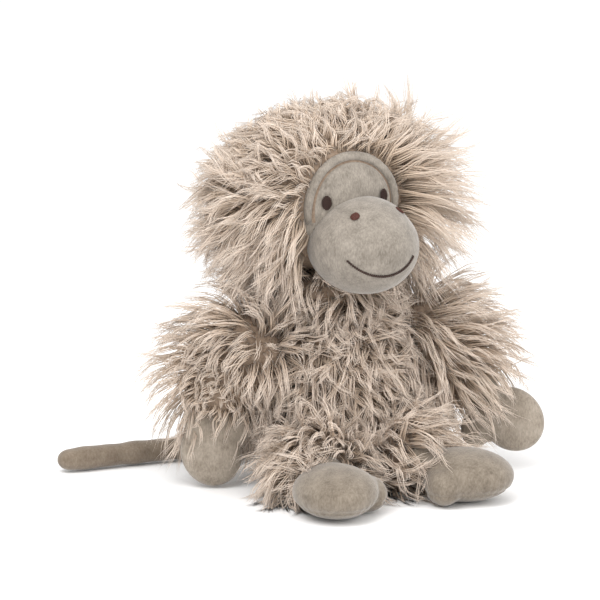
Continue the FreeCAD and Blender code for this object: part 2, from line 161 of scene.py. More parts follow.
def fur_material():
    """Hair that is pale at the tip and darkened to brown towards the root with painted shade, where the
    locks shade each other near the skin. Each lock is a little lighter or darker.
    """
    material, nodes, links = new_material("long_fur")
    shader = nodes["Principled BSDF"]
    uv = nodes.new("ShaderNodeUVMap")
    uv.uv_map = "OFBake"
    split = nodes.new("ShaderNodeSeparateXYZ")
    links.new(uv.outputs["UV"], split.inputs["Vector"])
    # Painted shade: the colour darkens from the tip to the root along each hair.
    along = ramp(nodes, [(0.0, FUR_ROOT_PAINTED_SHADE), (0.3, FUR_LOWER_PAINTED_SHADE), (0.62, FUR_UPPER), (1.0, FUR_TIP)])
    links.new(split.outputs["Y"], along.inputs["Fac"])
    shade = ramp(nodes, [(0.0, (0.74, 0.72, 0.70)), (0.5, (0.95, 0.94, 0.93)), (1.0, (1.08, 1.08, 1.08))])
    links.new(split.outputs["X"], shade.inputs["Fac"])
    mix = nodes.new("ShaderNodeMix")
    mix.data_type, mix.blend_type = "RGBA", "MULTIPLY"
    mix.inputs["Factor"].default_value = 1.0
    links.new(along.outputs["Color"], mix.inputs["A"])
    links.new(shade.outputs["Color"], mix.inputs["B"])
    links.new(mix.outputs["Result"], shader.inputs["Base Color"])
    shader.inputs["Roughness"].default_value = 0.62
    shader.inputs["Specular IOR Level"].default_value = 0.25
    shader.inputs["Sheen Weight"].default_value = 0.25
    shader.inputs["Sheen Roughness"].default_value = 0.5
    return material


def pile_material(name, dark, light):
    """Short-pile velour: brushed streaks, soft blotches where the pile lies another way, and sheen."""
    material, nodes, links = new_material(name)
    shader = nodes["Principled BSDF"]
    place = nodes.new("ShaderNodeTexCoord")
    brushed = nodes.new("ShaderNodeMapping")
    brushed.inputs["Scale"].default_value = (1.0, 1.0, 0.45)
    links.new(place.outputs["Object"], brushed.inputs["Vector"])
    fine = nodes.new("ShaderNodeTexNoise")
    fine.inputs["Scale"].default_value = 900.0
    fine.inputs["Detail"].default_value = 4.0
    fine.inputs["Roughness"].default_value = 0.65
    links.new(brushed.outputs["Vector"], fine.inputs["Vector"])
    blotch = nodes.new("ShaderNodeTexNoise")
    blotch.inputs["Scale"].default_value = 120.0
    blotch.inputs["Detail"].default_value = 3.0
    links.new(place.outputs["Object"], blotch.inputs["Vector"])
    both = nodes.new("ShaderNodeMix")
    both.inputs["Factor"].default_value = 0.42
    links.new(fine.outputs["Fac"], both.inputs["A"])
    links.new(blotch.outputs["Fac"], both.inputs["B"])
    colour = ramp(nodes, [(0.30, dark), (0.66, light)])
    links.new(both.outputs["Result"], colour.inputs["Fac"])
    links.new(colour.outputs["Color"], shader.inputs["Base Color"])
    raised = nodes.new("ShaderNodeBump")
    raised.inputs["Strength"].default_value = 0.35
    raised.inputs["Distance"].default_value = 0.6 * MM
    links.new(fine.outputs["Fac"], raised.inputs["Height"])
    links.new(raised.outputs["Normal"], shader.inputs["Normal"])
    shader.inputs["Roughness"].default_value = 0.85
    shader.inputs["Specular IOR Level"].default_value = 0.2
    shader.inputs["Sheen Weight"].default_value = 0.35
    shader.inputs["Sheen Roughness"].default_value = 0.45
    return material


def thread_material(name, dark, light):
    """Glossy embroidery thread with a fine twist."""
    material, nodes, links = new_material(name)
    shader = nodes["Principled BSDF"]
    place = nodes.new("ShaderNodeTexCoord")
    twist = nodes.new("ShaderNodeTexNoise")
    twist.inputs["Scale"].default_value = 2500.0
    links.new(place.outputs["Object"], twist.inputs["Vector"])
    colour = ramp(nodes, [(0.35, dark), (0.65, light)])
    links.new(twist.outputs["Fac"], colour.inputs["Fac"])
    links.new(colour.outputs["Color"], shader.inputs["Base Color"])
    shader.inputs["Roughness"].default_value = 0.6
    shader.inputs["Specular IOR Level"].default_value = 0.25
    return material


def plain_material(name, dark, light, scale, roughness):
    """A quiet noisy colour, for the pieces inside."""
    material, nodes, links = new_material(name)
    shader = nodes["Principled BSDF"]
    place = nodes.new("ShaderNodeTexCoord")
    noise = nodes.new("ShaderNodeTexNoise")
    noise.inputs["Scale"].default_value = scale
    noise.inputs["Detail"].default_value = 5.0
    links.new(place.outputs["Object"], noise.inputs["Vector"])
    colour = ramp(nodes, [(0.3, dark), (0.7, light)])
    links.new(noise.outputs["Fac"], colour.inputs["Fac"])
    links.new(colour.outputs["Color"], shader.inputs["Base Color"])
    shader.inputs["Roughness"].default_value = roughness
    return material


FUR = fur_material()
# The skin under the fur is the fur's backing cloth. It is coloured dark brown as painted shade, deep
# between the locks.
PAINTED_SHADE_BACKING = plain_material("fur_backing_painted_shade", (0.16, 0.11, 0.075), (0.27, 0.20, 0.145), 500.0, 0.95)
FACE_VELOUR = pile_material("face_velour", (0.116, 0.099, 0.080), (0.295, 0.260, 0.220))
HAND_VELOUR = pile_material("hand_velour", (0.165, 0.133, 0.100), (0.350, 0.302, 0.248))
FOOT_VELOUR = pile_material("foot_velour", (0.100, 0.078, 0.057), (0.250, 0.210, 0.165))
TAIL_VELOUR = pile_material("tail_velour", (0.120, 0.088, 0.060), (0.235, 0.190, 0.145))
EYE_THREAD = thread_material("eye_thread", (0.014, 0.006, 0.004), (0.036, 0.016, 0.011))
NOSTRIL_THREAD = thread_material("nostril_thread", (0.042, 0.012, 0.008), (0.095, 0.032, 0.024))
SMILE_THREAD = thread_material("smile_thread", (0.020, 0.010, 0.007), (0.045, 0.024, 0.018))
FILLING = plain_material("fibre_filling", (0.70, 0.70, 0.68), (0.86, 0.86, 0.84), 300.0, 1.0)
BEADS = plain_material("bead_plastic", (0.72, 0.72, 0.70), (0.85, 0.85, 0.83), 900.0, 0.4)
COTTON = plain_material("bag_cotton", (0.58, 0.54, 0.46), (0.72, 0.68, 0.60), 700.0, 0.95)


# ------------------------------------------------------------------ meshes

def link_mesh(name, mesh, material):
    """A mesh as an object in the scene, smooth, with one material."""
    mesh.materials.append(material)
    mesh.polygons.foreach_set("use_smooth", np.ones(len(mesh.polygons), bool))
    piece = bpy.data.objects.new(name, mesh)
    bpy.context.scene.collection.objects.link(piece)
    return piece


def signed_volume(points, quads, triangles):
    """The volume inside the faces, negative if they face inwards. An open sheet counts from the origin."""
    whole = np.concatenate([quads[:, :3], quads[:, [0, 2, 3]], triangles])
    a, b, c = (points[whole[:, k]] for k in range(3))
    return (a * np.cross(b, c)).sum() / 6


def mesh_from_arrays(name, points, quads, triangles, uv=None):
    """A mesh from arrays of points, four-sided faces and three-sided faces, with a UV for each point."""
    mesh = bpy.data.meshes.new(name)
    if signed_volume(points, quads, triangles) < 0:
        quads, triangles = quads[:, ::-1], triangles[:, ::-1]
    corners = np.concatenate([quads.ravel(), triangles.ravel()]).astype(np.int32)
    starts = np.concatenate([np.arange(len(quads)) * 4,
                             len(quads) * 4 + np.arange(len(triangles)) * 3]).astype(np.int32)
    mesh.vertices.add(len(points))
    mesh.vertices.foreach_set("co", points.astype(np.float32).ravel())
    mesh.loops.add(len(corners))
    mesh.loops.foreach_set("vertex_index", corners)
    mesh.polygons.add(len(starts))
    mesh.polygons.foreach_set("loop_start", starts)
    if uv is not None:
        layer = mesh.uv_layers.new(name="OFBake")
        layer.data.foreach_set("uv", uv[corners].astype(np.float32).ravel())
    mesh.update(calc_edges=True)
    return mesh


def tube_faces(count, around):
    """Faces of a tube of rings with a fan at each end, whose two middle points come after the rings'."""
    index = np.arange(count * around).reshape(count, around)
    beside = np.roll(index, -1, axis=1)
    first, last = count * around, count * around + 1
    quads = np.stack([index[:-1], beside[:-1], beside[1:], index[1:]], -1).reshape(-1, 4)
    triangles = np.vstack([
        np.stack([beside[0], index[0], np.full(around, first)], -1),
        np.stack([index[-1], beside[-1], np.full(around, last)], -1)])
    return quads, triangles


def tube_points(rings):
    """The points of a tube of rings, an array of (rings, points a ring, 3), then each end's middle."""
    return np.vstack([rings.reshape(-1, 3), rings[0].mean(0), rings[-1].mean(0)])


def ring_mesh(name, rings):
    """A closed tube through rings of points."""
    return mesh_from_arrays(name, tube_points(rings), *tube_faces(*rings.shape[:2]))


def unit(vectors):
    """Vectors scaled to length one."""
    return vectors / np.maximum(np.linalg.norm(vectors, axis=-1, keepdims=True), 1e-9)


def axes_at(along, hint):
    """A 3 by 3 array whose columns are along, across and upright, with across as near hint as may be."""
    x = unit(np.array(along, float))
    z = unit(np.cross(x, np.array(hint, float)))
    return np.column_stack([x, np.cross(z, x), z])


def egg_rings(centre, halves, rings=40, around=64, back=None):
    """Rings of an ellipsoid round its Z axis. back, if given, is the half depth on the +Y side."""
    turn = np.linspace(0, 2 * math.pi, around, endpoint=False)
    rise = np.linspace(-math.pi / 2, math.pi / 2, rings + 2)[1:-1]
    x = np.cos(rise)[:, None] * np.cos(turn)[None] * halves[0]
    y = np.cos(rise)[:, None] * np.sin(turn)[None]
    y = np.where(y > 0, y * (halves[1] if back is None else back), y * halves[1])
    z = np.sin(rise)[:, None] * np.ones(around)[None] * halves[2]
    return np.stack([x, y, z], -1) + centre


def limb_rings(start, finish, radii, rings=28, around=40):
    """Rings of a soft limb from start to finish, whose radius follows the list from root to end."""
    cap, least = 0.16, 0.02
    along = np.linspace(0, 1, rings)
    line = start + (finish - start) * along[:, None]
    round_end = np.sqrt(np.clip(1 - ((along - (1 - cap)) / cap).clip(0, 1) ** 2, least, 1))
    round_start = np.sqrt(np.clip(1 - ((cap - along) / cap).clip(0, 1) ** 2, least, 1))
    radius = np.interp(along, np.linspace(0, 1, len(radii)), radii) * round_end * round_start
    tangent = unit(np.gradient(line, axis=0))
    side = unit(np.cross(tangent, UP + 1e-3))
    over = np.cross(side, tangent)
    turn = np.linspace(0, 2 * math.pi, around, endpoint=False)
    ring = side[:, None] * np.cos(turn)[None, :, None] + over[:, None] * np.sin(turn)[None, :, None]
    return line[:, None] + ring * radius[:, None, None]


def rings_along(line, side, over, wide, high):
    """Rings round a line's points. wide and high are how far each ring point lies along side and over."""
    return line[:, None] + side[:, None] * wide[..., None] + over[:, None] * high[..., None]


# ------------------------------------------------------------------ fur

FLOOR_CLEAR = 0.6 * MM
HAIRS_PER_LOCK = 7
HAIR_RINGS = 6
LOCK_RADIUS = 2.9 * MM
HAIR_RADIUS = 0.34 * MM
HAIR_TAPER = 0.78
TIP_GATHER = 0.12
TIP_STRAY = 0.034
TRIES_PER_SPOT = 5
FLOW_WAVES = 6


def scatter(piece, spacing, seed):
    """Evenly scattered points on a piece, at least a spacing apart, and the surface's normals there."""
    mesh = piece.data
    mesh.calc_loop_triangles()
    points = get_points(piece)
    normals = np.zeros(len(mesh.vertices) * 3)
    mesh.vertices.foreach_get("normal", normals)
    normals = normals.reshape(-1, 3)
    corners = np.zeros(len(mesh.loop_triangles) * 3, int)
    mesh.loop_triangles.foreach_get("vertices", corners)
    corners = corners.reshape(-1, 3)
    a, b, c = (points[corners[:, k]] for k in range(3))
    area = np.linalg.norm(np.cross(b - a, c - a), axis=1) / 2
    rng = np.random.default_rng(seed)
    tries = int(TRIES_PER_SPOT * area.sum() / spacing ** 2)
    chosen = rng.choice(len(area), tries, p=area / area.sum())
    weights = rng.dirichlet((1, 1, 1), tries)
    spots = (points[corners[chosen]] * weights[:, :, None]).sum(1)
    facing = unit((normals[corners[chosen]] * weights[:, :, None]).sum(1))
    cells, keep = {}, []
    keys = np.floor(spots / spacing).astype(int)
    near = [(i, j, k) for i in (-1, 0, 1) for j in (-1, 0, 1) for k in (-1, 0, 1)]
    for number, (spot, key) in enumerate(zip(spots, keys)):
        around = [q for i, j, k in near for q in cells.get((key[0] + i, key[1] + j, key[2] + k), ())]
        if all(((spots[q] - spot) ** 2).sum() >= spacing ** 2 for q in around):
            cells.setdefault(tuple(key), []).append(number)
            keep.append(number)
    return spots[keep], facing[keep]


def flow(points, seed, wave):
    """A smooth random direction at each point, that turns over about the given distance."""
    rng = np.random.default_rng(seed)
    total = np.zeros_like(points)
    for _ in range(FLOW_WAVES):
        way = unit(rng.normal(0, 1, 3)) * (2 * math.pi / wave) * rng.uniform(0.5, 1.3)
        total += np.sin(points @ way + rng.uniform(0, 2 * math.pi))[:, None] * unit(rng.normal(0, 1, 3))
    return total / 1.8


def grow_locks(rng, roots, normals, comb, length, lift, droop, curl, tangle):
    """The middle line of every hair, (hairs, rings, 3), and a number from 0 to 1 for each hair's lock.

    comb is the way the fur lies, lift how far it stands off the skin at the root and at the tip, droop
    how much it hangs, curl how far it waves, in metres, and tangle how unruly it is."""
    count, hairs = len(roots), HAIRS_PER_LOCK
    comb = unit(comb - normals * (comb * normals).sum(1, keepdims=True))
    noise = rng.normal(0, tangle, (count, 3))
    steps = HAIR_RINGS - 1
    lengths = length * rng.uniform(0.78, 1.15, count)
    place, line = roots.copy(), [roots]
    for step in range(steps):
        part = (step + 0.5) / steps
        stand = np.reshape(lift[0] + (lift[1] - lift[0]) * part, (-1, 1))
        way = unit(normals * stand + comb * (1 - stand) + noise * (0.5 + part) - UP * droop * part)
        place = place + way * (lengths / steps)[:, None]
        line.append(place)
    line = np.stack(line, 1)
    parts = np.linspace(0, 1, HAIR_RINGS)
    first = unit(np.cross(normals, comb))
    second = unit(np.cross(unit(line[:, -1] - roots), first))
    phase = rng.uniform(0, 2 * math.pi, (count, 1))
    turns = rng.uniform(0.5, 1.2, (count, 1))
    sway = curl * rng.uniform(0.3, 1.2, (count, 1)) * parts ** 0.8
    angle = phase + turns * 2 * math.pi * parts
    line = line + first[:, None] * (sway * np.cos(angle))[:, :, None]
    line = line + second[:, None] * (sway * np.sin(angle) * 0.7)[:, :, None]
    line = line - (line[:, :1] - roots[:, None])

    spin = rng.uniform(0, 2 * math.pi, (count, hairs))
    reach = LOCK_RADIUS * np.sqrt(rng.uniform(0.02, 1, (count, hairs)))
    over = unit(np.cross(normals, first))
    offset = (first[:, None] * (reach * np.cos(spin))[:, :, None]
              + over[:, None] * (reach * np.sin(spin))[:, :, None])
    gather = TIP_GATHER + (1 - TIP_GATHER) * (1 - parts) ** 0.6
    stray = rng.normal(0, TIP_STRAY, (count, hairs, 3)) * lengths[:, None, None]
    scale = rng.uniform(0.80, 1.04, (count, hairs))
    hair = roots[:, None, None] + (line - roots[:, None])[:, None] * scale[:, :, None, None]
    hair = hair + offset[:, :, None] * gather[None, None, :, None]
    hair = hair + stray[:, :, None] * (parts ** 2)[None, None, :, None]
    tone = np.repeat(rng.uniform(0, 1, count), hairs) * 0.8 + rng.uniform(0, 0.2, count * hairs)
    return hair.reshape(-1, HAIR_RINGS, 3), tone


def hair_mesh(name, hairs, tone, rng):
    """Three-sided closed tapered hairs along the given middle lines, as one mesh."""
    count = len(hairs)
    parts = np.linspace(0, 1, HAIR_RINGS)
    width = HAIR_RADIUS * rng.uniform(0.75, 1.25, (count, 1)) * (1.0 - HAIR_TAPER * parts ** 1.6)
    tangent = unit(np.gradient(hairs, axis=1))
    hint = unit(rng.normal(0, 1, (count, 1, 3)))
    side = unit(np.cross(tangent, hint))
    over = np.cross(tangent, side)
    corners = []
    for angle in (0, 2 * math.pi / 3, 4 * math.pi / 3):
        spoke = side * math.cos(angle) + over * math.sin(angle)
        corners.append(hairs + spoke * width[:, :, None])
    rings = np.stack(corners, 2)[:, :-1]
    body = rings.reshape(count, -1, 3)
    points = np.concatenate([body, hairs[:, -1:]], 1)
    points[:, :, 2] = np.maximum(points[:, :, 2], FLOOR_CLEAR)
    each = points.shape[1]
    base = (np.arange(count) * each)[:, None, None]
    quads = []
    for ring in range(HAIR_RINGS - 2):
        for corner in range(3):
            here, beside = 3 * ring + corner, 3 * ring + (corner + 1) % 3
            quads.append((here, beside, beside + 3, here + 3))
    last = 3 * (HAIR_RINGS - 2)
    triangles = [(2, 1, 0)] + [(last + c, last + (c + 1) % 3, each - 1) for c in range(3)]
    quads = (np.array(quads)[None] + base).reshape(-1, 4)
    triangles = (np.array(triangles)[None] + base).reshape(-1, 3)
    along = np.concatenate([np.repeat(parts[:-1], 3), [1.0]])
    uv = np.stack([np.repeat(tone * 0.98 + 0.01, each), np.tile(along * 0.98 + 0.01, count)], -1)
    return mesh_from_arrays(name, points.reshape(-1, 3), quads, triangles, uv)


def push_out(points, centre, halves, outline=1.03):
    """Moves points that lie in an ellipsoid out to its surface."""
    away = (points - centre) / halves
    distance = np.linalg.norm(away, axis=-1, keepdims=True)
    moved = centre + away / np.maximum(distance, 0.2) * outline * halves
    return np.where(distance < outline, moved, points)


# ------------------------------------------------------------------ shape of the head

SKULL_HALVES = np.array((56, 44, 46)) * MM
FILLING_EASE = 0.25 * MM
SKULL = box_centre("head_stuffing") * (1, 1, 0)
SKULL[2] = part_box("head_stuffing")[1].z - (SKULL_HALVES[2] - FILLING_EASE)
HEAD_SKIN_HALVES, HEAD_SKIN_BACK = np.array((62, 44, 50)) * MM, 52 * MM
MUZZLE = np.array((SKULL[0], SKULL[1] - 47 * MM, SKULL[2] - 26 * MM))
MUZZLE_HALVES = np.array((34.4, 39, 31)) * MM
FACE_X, FACE_Z = SKULL[0] - 3 * MM, SKULL[2] - 2 * MM
FACE_RADIUS = 34 * MM
PANEL_LIFT = 2 * MM
CROWN_LIMIT = cad_box[1].z + 15 * MM
HEAD_SPACING, HEAD_SEED = 3.15 * MM, 11


def face_depth(points):
    """Below 1 for points that lie over the bare face or the muzzle, seen from the front."""
    face = np.hypot(points[..., 0] - FACE_X, points[..., 2] - FACE_Z) / FACE_RADIUS
    muzzle = np.hypot((points[..., 0] - MUZZLE[0]) / MUZZLE_HALVES[0],
                      (points[..., 2] - MUZZLE[2]) / MUZZLE_HALVES[2])
    return np.minimum(face, muzzle / 0.93)


def on_front(middle, halves, x, z):
    """Points on the front of an ellipsoid, at places across and up from its middle."""
    depth = np.sqrt(np.maximum(0.02, 1 - (x / halves[0]) ** 2 - (z / halves[2]) ** 2))
    return np.stack([middle[0] + x, middle[1] - halves[1] * depth, middle[2] + z], -1)


def on_skull(x, z, extra):
    return on_front(SKULL, SKULL_HALVES + extra, x, z)


def on_muzzle(x, z, extra=0.0):
    return on_front(MUZZLE, MUZZLE_HALVES + extra, x, z)


def make_head():
    """Skin and fur of the head, then the velour face and its embroidery."""
    skin = link_mesh("head_skin", ring_mesh("head_skin", egg_rings(
        SKULL, HEAD_SKIN_HALVES, back=HEAD_SKIN_BACK)), PAINTED_SHADE_BACKING)
    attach(skin, "head")
    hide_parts("head_fur_cover")

    roots, normals = scatter(skin, HEAD_SPACING, HEAD_SEED)
    keep = ~((face_depth(roots) < 1) & (roots[:, 1] < SKULL[1]))
    roots, normals = roots[keep], normals[keep]
    rng = np.random.default_rng(HEAD_SEED + 1)
    away = unit((roots - (FACE_X, 0, SKULL[2] - 10 * MM)) * (1, 0, 1))
    front = np.clip((SKULL[1] - roots[:, 1]) / SKULL_HALVES[1], 0, 1)[:, None]
    high = np.clip((roots[:, 2] - SKULL[2]) / SKULL_HALVES[2], -1, 1)[:, None]
    comb = away * (0.5 + front) + np.array((0, 0.9, 0)) * (1 - front) - UP * 0.5 * (high < 0)
    comb = comb + flow(roots, HEAD_SEED + 2, 32 * MM) * 0.65
    side = np.abs(away[:, 0])
    left, right = np.clip(away[:, 0], 0, 1), np.clip(-away[:, 0], 0, 1)
    low = np.clip(-high[:, 0] - 0.2, 0, 1)
    crown = np.clip(high[:, 0], 0, 1)
    level = 1 - np.abs(high[:, 0])
    length = (27 + 13 * side + (14 + 6 * level) * left + 3 * (1 - front[:, 0]) + 14 * low
              - 15 * crown - 4 * crown * right) * MM
    lift = (0.70 - 0.14 * crown + 0.06 * left, 0.44 - 0.12 * crown + 0.1 * left - 0.1 * low)
    hairs, tone = grow_locks(rng, roots, normals, comb, length, lift, 0.48, 5.0 * MM, 0.2)
    hairs = keep_off_face(hairs)
    hairs[..., 2] = np.minimum(hairs[..., 2], CROWN_LIMIT)
    pieces = np.repeat(head_regions(roots), HAIRS_PER_LOCK)
    for number, region in enumerate(("crown", "cheeks", "nape")):
        chosen = pieces == number
        mesh = hair_mesh(f"head_fur_{region}", hairs[chosen], tone[chosen], rng)
        fur = link_mesh(f"head_fur_{region}", mesh, FUR)
        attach(fur, "head")


def head_regions(roots):
    """0 for the crown, 1 for the sides and front, 2 for the back."""
    regions = np.ones(len(roots), int)
    regions[roots[:, 2] > SKULL[2] + 18 * MM] = 0
    regions[(roots[:, 1] > SKULL[1] + 12 * MM) & (regions == 1)] = 2
    return regions


def keep_off_face(hairs):
    """Hair of the head leaves the face, the brow and the muzzle clear."""
    distance = np.hypot(hairs[..., 0] - FACE_X, hairs[..., 2] - FACE_Z)
    in_front = hairs[..., 1] < SKULL[1] - 20 * MM
    in_front &= (distance < FACE_RADIUS) & (hairs[..., 2] > MUZZLE[2])
    scale = np.where(in_front, FACE_RADIUS / np.maximum(distance, 8 * MM), 1.0)
    x = FACE_X + (hairs[..., 0] - FACE_X) * scale
    z = FACE_Z + (hairs[..., 2] - FACE_Z) * scale
    hairs = np.stack([x, hairs[..., 1], z], -1)
    return push_out(hairs, MUZZLE, MUZZLE_HALVES)


def make_panel():
    """Smooth velour panel of the face, with a hollow round each eye and a ridge beside the brow arch."""
    shift = FACE_X - SKULL[0]
    x, z = np.meshgrid(np.linspace(-1, 1, 121) * FACE_RADIUS + shift, np.linspace(-44 * MM, 36 * MM, 141))
    points = on_skull(x, z, PANEL_LIFT)
    for side in (-1, 1):
        across, up = (x - shift - side * 19 * MM) / (9 * MM), (z - 3 * MM) / (11 * MM)
        points[..., 1] += 1.0 * MM * np.exp(-(across ** 2 + up ** 2))
    from_band = np.hypot(x - shift, z + 2 * MM) - 28.6 * MM
    points[..., 1] += 1.8 * MM * np.exp(-(from_band / (0.9 * MM)) ** 2) * (z > -10 * MM)
    rows, columns = x.shape
    index = np.arange(rows * columns).reshape(rows, columns)
    quads = np.stack([index[:-1, :-1], index[:-1, 1:], index[1:, 1:], index[1:, :-1]], -1).reshape(-1, 4)
    points = points.reshape(-1, 3)
    low = np.clip(points[:, 2], SKULL[2] - 23 * MM, FACE_Z)
    inside = np.hypot(points[:, 0] - FACE_X, points[:, 2] - low) < FACE_RADIUS
    quads = quads[inside[quads].all(1)]
    used, quads = np.unique(quads, return_inverse=True)
    mesh = mesh_from_arrays("face_velour", points[used], quads.reshape(-1, 4), np.zeros((0, 3), int))
    panel = link_mesh("face_velour", mesh, FACE_VELOUR)
    thicken = panel.modifiers.new("thickness", "SOLIDIFY")
    thicken.thickness, thicken.offset = 1.6 * MM, -1
    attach(panel, "head")
    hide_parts("face_panel")


def make_brow():
    """Padded velour arch round the top and sides of the face, lightly puckered along its length."""
    radius, wide, high, count = 32.0 * MM, 2.9 * MM, 2.3 * MM, 90
    along = np.radians(np.linspace(-16, 196, count))
    x, z = radius * np.cos(along) + FACE_X - SKULL[0], radius * np.sin(along) - 2 * MM
    line = on_skull(x, z, 2.2 * MM)
    lift = unit(line - SKULL)
    outward = np.stack([np.cos(along), np.zeros(count), np.sin(along)], -1)
    outward = unit(outward - lift * (outward * lift).sum(1, keepdims=True))
    ends = np.sqrt(np.clip(1 - np.abs(np.linspace(-1, 1, count)) ** 10, 0.03, 1))
    pucker = 1 + 0.07 * np.sin(np.linspace(0, 46 * math.pi, count))
    turn = np.linspace(0, 2 * math.pi, 20, endpoint=False)
    rings = rings_along(line, outward, lift, np.cos(turn) * (wide * ends)[:, None],
                        np.sin(turn) * (high * ends * pucker)[:, None])
    brow = link_mesh("brow_arch", ring_mesh("brow_arch", rings), FACE_VELOUR)
    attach(brow, "head")
    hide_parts("brow_band")


def make_muzzle():
    """Round velour muzzle, with a slight dip round it above its middle."""
    rings = egg_rings((0, 0, 0), (1, 1, 1), rings=60, around=96)
    sag = 1 - 0.02 * np.exp(-((rings[..., 2] - 0.55) / 0.2) ** 2)
    rings = rings * sag[..., None] * MUZZLE_HALVES + MUZZLE
    muzzle = link_mesh("muzzle_velour", ring_mesh("muzzle_velour", rings), FACE_VELOUR)
    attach(muzzle, "head")
    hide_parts("muzzle_cover")


def stitches(name, material, starts, ends, lifts, radius, replaced):
    """Short raised threads, one for each pair of ends, bowed a little off the cloth."""
    parts = np.linspace(0, 1, 9)
    turn = np.linspace(0, 2 * math.pi, 8, endpoint=False)
    bow = radius * 1.1 * np.sin(math.pi * parts)
    thin = radius * np.sqrt(np.clip(1 - (2 * parts - 1) ** 8, 0.05, 1))
    threads = []
    for start, end, lift in zip(starts, ends, lifts):
        line = start + (end - start) * parts[:, None] + lift * bow[:, None]
        side = unit(np.cross(unit(end - start), lift))
        ring = side * np.cos(turn)[:, None] + lift * np.sin(turn)[:, None] * 0.8
        threads.append(tube_points(line[:, None] + ring * thin[:, None, None]))
    base = (np.arange(len(threads)) * len(threads[0]))[:, None, None]
    quads, triangles = tube_faces(len(parts), len(turn))
    mesh = mesh_from_arrays(name, np.vstack(threads), (quads + base).reshape(-1, 4),
                            (triangles + base).reshape(-1, 3))
    piece = link_mesh(name, mesh, material)
    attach(piece, "head")
    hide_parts(replaced)


def satin_oval(name, halves, middle, extra, spot, oval, material, replaced, threads=12):
    """Satin stitch: parallel threads side by side that fill an oval on the front of an ellipsoid.

    extra is how far outside the ellipsoid they lie, spot the place across and up from its middle, and oval
    the oval's half width and half height."""
    halves, reach = halves + extra, 0.93
    x, z = spot
    depth = -math.sqrt(1 - (x / halves[0]) ** 2 - (z / halves[2]) ** 2) * halves[1]
    centre = np.array((x, depth, z))
    out = unit(centre / halves ** 2)
    over = unit(UP - out * out[2])
    across = np.cross(over, out)
    levels = np.linspace(-reach, reach, threads)
    half = oval[0] * np.sqrt(1 - levels ** 2)
    ends = []
    for sign in (-1, 1):
        flat = centre + across * (sign * half)[:, None] + over * (levels * oval[1])[:, None]
        ends.append(flat / np.linalg.norm(flat / halves, axis=1, keepdims=True) + middle)
    lifts = np.repeat(out[None], threads, 0)
    radius = 1.12 * oval[1] * reach / (threads - 1)
    stitches(name, material, ends[0], ends[1], lifts, radius, replaced)


def make_embroidery():
    """Eyes, nostrils and the smile."""
    shift = FACE_X - SKULL[0]
    for side, sign in zip(SIDES, (-1, 1)):
        satin_oval(f"eye_stitch_{side}", SKULL_HALVES, SKULL, 2.3 * MM, (shift + sign * 21 * MM, 3 * MM),
                   (3.6 * MM, 4.5 * MM), EYE_THREAD, f"eye_{side}")
        satin_oval(f"nostril_stitch_{side}", MUZZLE_HALVES, MUZZLE, 0.1 * MM, (sign * 17 * MM, 23.5 * MM),
                   (3.3 * MM, 3.1 * MM), NOSTRIL_THREAD, f"nostril_{side}", 10)
    bend, low, aside, proud = 26 * MM, -13 * MM, -6.5 * MM, 0.15 * MM
    turn = np.radians(np.linspace(-54, 54, 41))
    x, z = aside + bend * np.sin(turn), low + bend * (1 - np.cos(turn))
    lean = 0.45 * MM
    starts = on_muzzle(x[:-1], z[:-1] - lean, proud)
    ends = on_muzzle(x[1:], z[1:] + lean, proud)
    lifts = unit((on_muzzle(x[:-1], z[:-1]) - MUZZLE) / MUZZLE_HALVES ** 2)
    stitches("smile_stitch", SMILE_THREAD, starts, ends, lifts, 0.72 * MM, "mouth_embroidery")


# ------------------------------------------------------------------ body and limbs

TORSO = np.array((box_centre("torso_fur_cover")[0], box_centre("torso_fur_cover")[1], 60 * MM))
TORSO_SKIN_HALVES, TORSO_HAIR = np.array((47, 43, 61)) * MM, 31 * MM
NECK_SKIN_HALVES, NECK_HAIR = np.array((31, 29, 17)) * MM, 35 * MM
SKIN_FLOOR, FUR_FLOOR = 1.2 * MM, 3 * MM
FURS = {
    # name: spacing in mm, seed, lift at the root and the tip, droop, curl in mm, tangle
    "torso": (3.4, 31, (0.72, 0.45), 0.45, 6.0, 0.38),
    "neck": (4.0, 41, (0.75, 0.5), 0.35, 4.0, 0.3),
    "arm_right": (3.8, 51, (0.80, 0.38), 0.34, 3.6, 0.15),
    "arm_left": (3.8, 61, (0.80, 0.38), 0.34, 3.6, 0.15),
    "leg_right": (3.15, 71, (0.66, 0.22), 0.30, 4.0, 0.26),
    "leg_left": (3.15, 81, (0.66, 0.22), 0.30, 4.0, 0.26),
}
LIMBS = {
    # kind: the joints at its two ends, how far its skin goes past the second, and the skin's radii, in mm
    "arm": ("swing", "flap", -3, (22, 24, 23, 15)),
    "leg": ("lift", "tilt", 3, (17, 20, 21, 18)),
}
HAND_OR_FOOT = {"arm": "hand", "leg": "foot"}
# The ways the fingers point, the palms face and the toes point.
HAND_POINTS = {"right": (0.2516, -0.1634, -0.954), "left": (0.55, -0.5, -0.67)}
HAND_FACES = {"right": (-0.5446, -0.8387, 0.0), "left": (-0.511, -0.834, 0.202)}
FOOT_POINTS = {"right": (-0.32, -0.947, 0.0), "left": (0.576, -0.818, 0.0)}
# How quickly an arm's hair shortens from its edges to the side that the palm is on.
PALM_SIDE_SHARE = {"right": 1.4, "left": 0.15}


